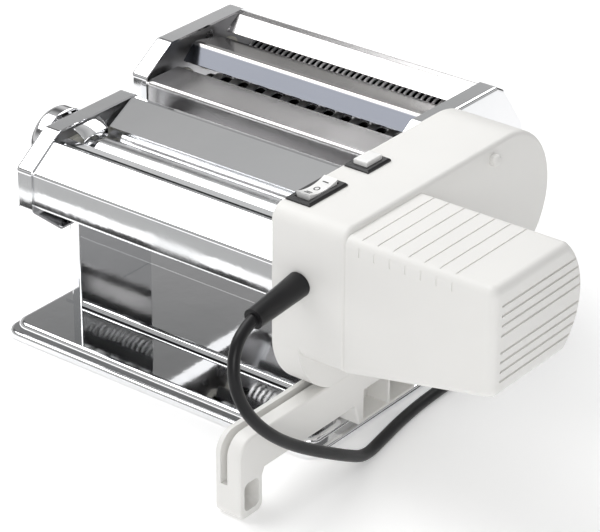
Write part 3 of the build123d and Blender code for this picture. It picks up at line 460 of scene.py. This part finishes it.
def add_block(name, low, high, bevel=0.3, segments=3):
    """A rounded block between two corners in millimetres."""
    start_clean()
    first, last = at(*low), at(*high)
    bpy.ops.mesh.primitive_cube_add(size=1, location=(first + last) / 2)
    piece = bpy.context.object
    piece.name = name
    piece.scale = last - first
    bpy.ops.object.transform_apply(location=True, rotation=False, scale=True)
    bpy.ops.object.mode_set(mode="EDIT")
    bpy.ops.mesh.select_all(action="SELECT")
    bpy.ops.mesh.bevel(offset=bevel * MM, segments=segments, affect="EDGES")
    bpy.ops.object.mode_set(mode="OBJECT")
    return piece


# %% [markdown]
# ## Marks on the rocker
# The rocker carries three plain marks: a bar, a ring and two bars, for slow, off and
# fast. Each is a shallow inlay of black plastic that follows the rocker's hollow top.

# %% Rocker marks
rocker_low, rocker_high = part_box("rocker")
rocker_x = ((rocker_low.x + rocker_high.x) / 2 - MID) / MM
rocker_y = ((rocker_low.y + rocker_high.y) / 2 - FRONT) / MM
rocker_top = rocker_high.z / MM
HOLLOW = 2.2
BAR_HALF_LENGTH, BAR_HALF_WIDTH = 1.9, 0.45
BAR_SUNK, BAR_PROUD = 0.35, 0.12
SLOW_MARK, FAST_MARK_FRONT, FAST_MARK_BACK = 7.8, -8.6, -6.6


def rocker_surface(depth):
    """Height of the hollow top of the rocker at a depth, as a shallow arc."""
    half = (rocker_high.y - rocker_low.y) / MM / 2
    return rocker_top - HOLLOW * (1 - ((depth - rocker_y) / half) ** 2)


def rocker_bar(name, depth):
    """A short bar across the rocker."""
    height = rocker_surface(depth)
    bar = add_block(
        name, (rocker_x - BAR_HALF_LENGTH, depth - BAR_HALF_WIDTH, height - BAR_SUNK),
        (rocker_x + BAR_HALF_LENGTH, depth + BAR_HALF_WIDTH, height + BAR_PROUD), bevel=0.1, segments=2)
    finish_piece(bar, "rocker_body", "black_plastic")


rocker_bar("rocker_mark_slow", rocker_y + SLOW_MARK)
rocker_bar("rocker_mark_fast_front", rocker_y + FAST_MARK_FRONT)
rocker_bar("rocker_mark_fast_back", rocker_y + FAST_MARK_BACK)
start_clean()
bpy.ops.mesh.primitive_torus_add(
    major_segments=40, minor_segments=10, major_radius=1.7 * MM, minor_radius=0.35 * MM,
    location=at(rocker_x, rocker_y, rocker_surface(rocker_y) + 0.02))
off_ring = bpy.context.object
off_ring.name = "rocker_mark_off"
bpy.ops.object.mode_set(mode="EDIT")
bpy.ops.mesh.select_all(action="SELECT")
bpy.ops.transform.resize(value=(0.85, 1.1, 0.5))
bpy.ops.object.mode_set(mode="OBJECT")
finish_piece(off_ring, "rocker_body", "black_plastic")

# %% [markdown]
# ## Hopper cheeks
# At each end of the rollers a folded sheet closes the hopper. It is a sloping wing from
# the end cap, narrower towards the rollers, with a short lip turned down at its inner
# edge. A plane is the start: its corners are set, its inner edge is extruded downwards,
# and Solidify gives the sheet its thickness. The lip stops above the roller's journal.

# %% Cheeks
CHEEK_OUTER, CHEEK_INNER = 89.2, 80.9
CHEEK_RIM, CHEEK_FOOT, CHEEK_LIP = 132.6, 128.4, 123.0
CHEEK_SHEET = 0.8
CHEEK_FRONT, CHEEK_BACK_RIM, CHEEK_BACK_FOOT = 37.0, 60.0, 58.0
EDGE_ROUNDING = 0.25


def fold_cheek(name, side):
    """One cheek, on the left for side -1 and on the right for side 1."""
    start_clean()
    bpy.ops.mesh.primitive_plane_add(size=1, location=(0, 0, 0))
    wing = bpy.context.object
    wing.name = name
    corners = {
        (-1, -1): at(side * CHEEK_OUTER, CHEEK_FRONT, CHEEK_RIM),
        (-1, 1): at(side * CHEEK_OUTER, CHEEK_BACK_RIM, CHEEK_RIM),
        (1, -1): at(side * CHEEK_INNER, CHEEK_FRONT, CHEEK_FOOT),
        (1, 1): at(side * CHEEK_INNER, CHEEK_BACK_FOOT, CHEEK_FOOT),
    }
    for vertex in wing.data.vertices:
        key = (1 if vertex.co.x > 0 else -1, 1 if vertex.co.y > 0 else -1)
        vertex.co = corners[key]
    inner_x = at(side * CHEEK_INNER, 0, 0).x
    for edge in wing.data.edges:
        edge.select = all(abs(wing.data.vertices[v].co.x - inner_x) < 0.1 * MM for v in edge.vertices)
    for vertex in wing.data.vertices:
        vertex.select = abs(vertex.co.x - inner_x) < 0.1 * MM
    for face in wing.data.polygons:
        face.select = False
    bpy.ops.object.mode_set(mode="EDIT")
    bpy.ops.mesh.select_mode(type="EDGE")
    drop = (CHEEK_LIP - CHEEK_FOOT) * MM
    bpy.ops.mesh.extrude_edges_move(TRANSFORM_OT_translate={"value": (0, 0, drop)})
    bpy.ops.mesh.select_all(action="SELECT")
    bpy.ops.mesh.normals_make_consistent(inside=False)
    bpy.ops.object.mode_set(mode="OBJECT")
    solid = wing.modifiers.new("sheet", "SOLIDIFY")
    solid.thickness = CHEEK_SHEET * MM
    solid.offset = 0
    bpy.ops.object.modifier_apply(modifier="sheet")
    round_edges = wing.modifiers.new("edge", "BEVEL")
    round_edges.width = EDGE_ROUNDING * MM
    round_edges.segments = 2
    bpy.ops.object.modifier_apply(modifier="edge")
    return finish_piece(wing, "frame", "mirror_steel")


left_cheek = fold_cheek("left_hopper_cheek", -1)
right_cheek = fold_cheek("right_hopper_cheek", 1)
for cheek in (left_cheek, right_cheek):
    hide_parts("hopper_cheeks")

# %% [markdown]
# ## Studio
# Polished steel shows the studio, so the studio is the finish. The floor is pale paper
# that gives back a little light of its own, so that it stays even out to its edges.

# %% Floor
start_clean()
bpy.ops.mesh.primitive_plane_add(size=12, location=(0, 0, 0))
floor = bpy.context.object
floor.name = "floor"
floor_finish = bpy.data.materials.new("floor_paper")
floor_finish.use_nodes = True
paper = floor_finish.node_tree.nodes["Principled BSDF"]
paper.inputs["Base Color"].default_value = (0.93, 0.93, 0.93, 1)
paper.inputs["Roughness"].default_value = 0.7
paper.inputs["Specular IOR Level"].default_value = 0.1
paper.inputs["Emission Color"].default_value = (1, 1, 1, 1)
paper.inputs["Emission Strength"].default_value = 0.22
floor.data.materials.append(floor_finish)
print("floor", floor.name)

# %% [markdown]
# The sky is a ramp over height. A dark band lies along the horizon: every rounded edge of
# a polished sheet reflects it somewhere, and that thin line is what draws the edge. A
# second darker band keeps the level tops of the caps from washing out.

# %% World
SKY_BANDS = (
    (0.0, 0.04), (0.13, 0.04), (0.18, 0.90), (0.34, 0.80), (0.44, 0.50), (0.53, 0.16),
    (0.60, 0.22), (0.69, 0.58), (0.79, 0.84), (0.87, 0.50), (1.0, 0.40),
)
SKY_STRENGTH = 0.72
bpy.context.scene.view_settings.view_transform = "Standard"
world = bpy.data.worlds.new("studio_sky")
bpy.context.scene.world = world
world.use_nodes = True
sky = world.node_tree.nodes["Background"]
heading = world.node_tree.nodes.new("ShaderNodeTexCoord")
parts = world.node_tree.nodes.new("ShaderNodeSeparateXYZ")
bands = world.node_tree.nodes.new("ShaderNodeValToRGB")
world.node_tree.links.new(heading.outputs["Generated"], parts.inputs["Vector"])
world.node_tree.links.new(parts.outputs["Z"], bands.inputs["Fac"])
world.node_tree.links.new(bands.outputs["Color"], sky.inputs["Color"])
for place, grey in SKY_BANDS:
    stops = bands.color_ramp.elements
    stop = stops.new(place) if 0 < place < 1 else stops[int(place)]
    stop.color = (grey, grey, grey, 1)
sky.inputs["Strength"].default_value = SKY_STRENGTH
print("sky bands", len(SKY_BANDS))

# %% [markdown]
# Three soft lights shape the white mouldings. The cards lie on the floor, seen only in
# reflections: a grey one tones down the front panel, and two dark strips line its edges.

# %% Lights and cards


def add_light(name, place, target, size, power):
    """A soft rectangular light that looks at a point."""
    data = bpy.data.lights.new(name, "AREA")
    data.shape = "RECTANGLE"
    data.size, data.size_y = size
    data.energy = power
    light = bpy.data.objects.new(name, data)
    bpy.context.scene.collection.objects.link(light)
    look = (Vector(target) - Vector(place)).to_track_quat("-Z", "Y")
    light.matrix_world = Matrix.Translation(place) @ look.to_matrix().to_4x4()
    return light




def add_card(name, place, target, size, grey):
    """A plain card that the camera doesn't see, only reflections."""
    card_finish = bpy.data.materials.new(name)
    card_finish.use_nodes = True
    paint = card_finish.node_tree.nodes["Principled BSDF"]
    paint.inputs["Base Color"].default_value = (grey, grey, grey, 1)
    paint.inputs["Roughness"].default_value = 1
    start_clean()
    bpy.ops.mesh.primitive_plane_add(size=1, location=(0, 0, 0))
    card = bpy.context.object
    card.name = name
    look = (Vector(target) - Vector(place)).to_track_quat("-Z", "Y").to_matrix().to_4x4()
    card.data.transform(Matrix.Translation(place) @ look @ Matrix.Diagonal((*size, 1, 1)))
    card.data.materials.append(card_finish)
    card.visible_camera = False
    card.visible_shadow = False
    card.visible_diffuse = False
    return card


add_light("overhead_softbox", (-0.50, -0.15, 0.85), (-0.12, 0.0, 0.1), (0.75, 0.75), 6.0)
add_light("front_softbox", (1.3, -1.7, 1.0), (0, 0, 0.1), (1.0, 0.8), 13)
add_light("back_softbox", (-0.3, 1.3, 1.3), (0, 0, 0.1), (1.4, 0.5), 7)
add_card("front_floor_card", at(-90, -190, 1), at(-90, -190, 100), (0.60, 0.075), 0.42)
add_card("front_line_card", at(-90, -132, 1), at(-90, -132, 100), (0.60, 0.020), 0.03)
add_card("side_line_card", at(-235, 60, 1), at(-235, 60, 100), (0.05, 0.30), 0.05)
print("lights 3, cards 3")
